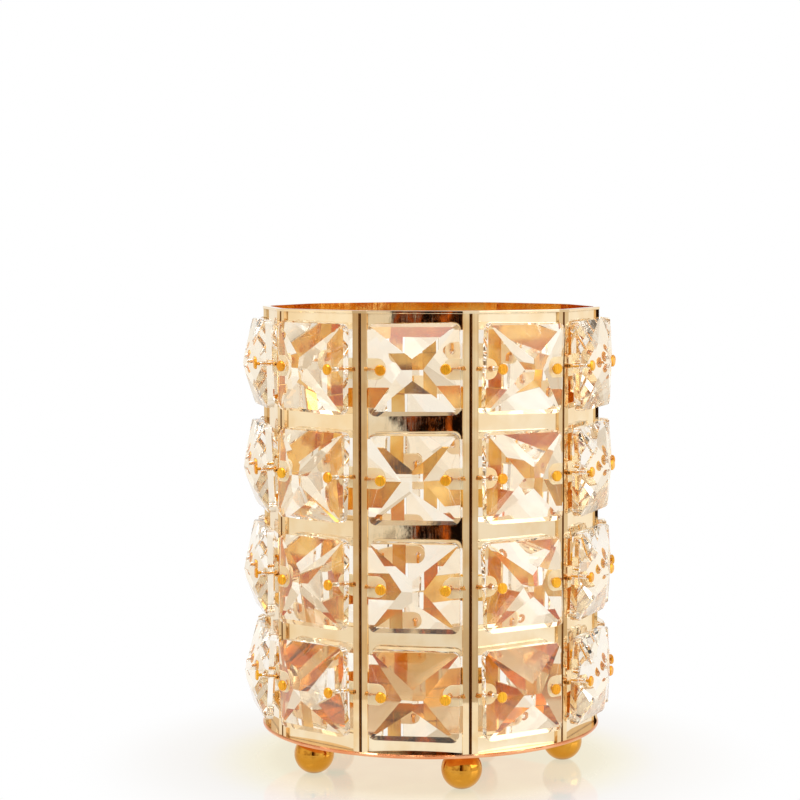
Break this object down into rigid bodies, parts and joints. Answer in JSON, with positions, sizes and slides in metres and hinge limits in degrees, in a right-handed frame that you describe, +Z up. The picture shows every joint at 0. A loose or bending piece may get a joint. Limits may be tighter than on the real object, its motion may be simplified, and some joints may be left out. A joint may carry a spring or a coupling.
{
  "type": "makeup brush holder",
  "caption": "Many-sided gold cup on ball feet, its wall set with rows of faceted clear crystals on head-pins, open at the top to hold makeup brushes.",
  "frame": {"origin": "centre of the holder at the level its ball feet stand on", "axes": "+Z up along the cup's axis, -Y to the front, where a post stands over a foot"},
  "size_m": [0.1036, 0.1012, 0.125],
  "materials": {
    "gold_band": "mirror plated gold",
    "gold_post": "mirror plated gold",
    "clear_crystal": "clear, polished",
    "pin_gold": "polished",
    "plate_gold": "mirror plated gold",
    "foot_gold": "polished",
    "screw_steel": "plain"
  },
  "bodies": {
    "root": {"ball_feet": "foot_gold", "base_plate": "plate_gold", "bottom_band": "gold_band", "crystal_pins": "pin_gold", "crystal_row1_col01": "clear_crystal", "crystal_row1_col02": "clear_crystal", "crystal_row1_col03": "clear_crystal", "crystal_row1_col04": "clear_crystal", "crystal_row1_col05": "clear_crystal", "crystal_row1_col06": "clear_crystal", "crystal_row1_col07": "clear_crystal", "crystal_row1_col08": "clear_crystal", "crystal_row1_col09": "clear_crystal", "crystal_row1_col10": "clear_crystal", "crystal_row2_col01": "clear_crystal", "crystal_row2_col02": "clear_crystal", "crystal_row2_col03": "clear_crystal", "crystal_row2_col04": "clear_crystal", "crystal_row2_col05": "clear_crystal", "crystal_row2_col06": "clear_crystal", "crystal_row2_col07": "clear_crystal", "crystal_row2_col08": "clear_crystal", "crystal_row2_col09": "clear_crystal", "crystal_row2_col10": "clear_crystal", "crystal_row3_col01": "clear_crystal", "crystal_row3_col02": "clear_crystal", "crystal_row3_col03": "clear_crystal", "crystal_row3_col04": "clear_crystal", "crystal_row3_col05": "clear_crystal", "crystal_row3_col06": "clear_crystal", "crystal_row3_col07": "clear_crystal", "crystal_row3_col08": "clear_crystal", "crystal_row3_col09": "clear_crystal", "crystal_row3_col10": "clear_crystal", "crystal_row4_col01": "clear_crystal", "crystal_row4_col02": "clear_crystal", "crystal_row4_col03": "clear_crystal", "crystal_row4_col04": "clear_crystal", "crystal_row4_col05": "clear_crystal", "crystal_row4_col06": "clear_crystal", "crystal_row4_col07": "clear_crystal", "crystal_row4_col08": "clear_crystal", "crystal_row4_col09": "clear_crystal", "crystal_row4_col10": "clear_crystal", "divider_band_1": "gold_band", "divider_band_2": "gold_band", "divider_band_3": "gold_band", "foot_screws": "screw_steel", "post_01": "gold_post", "post_02": "gold_post", "post_03": "gold_post", "post_04": "gold_post", "post_05": "gold_post", "post_06": "gold_post", "post_07": "gold_post", "post_08": "gold_post", "post_09": "gold_post", "post_10": "gold_post", "rim_band": "gold_band"}
  },
  "joints": []
}
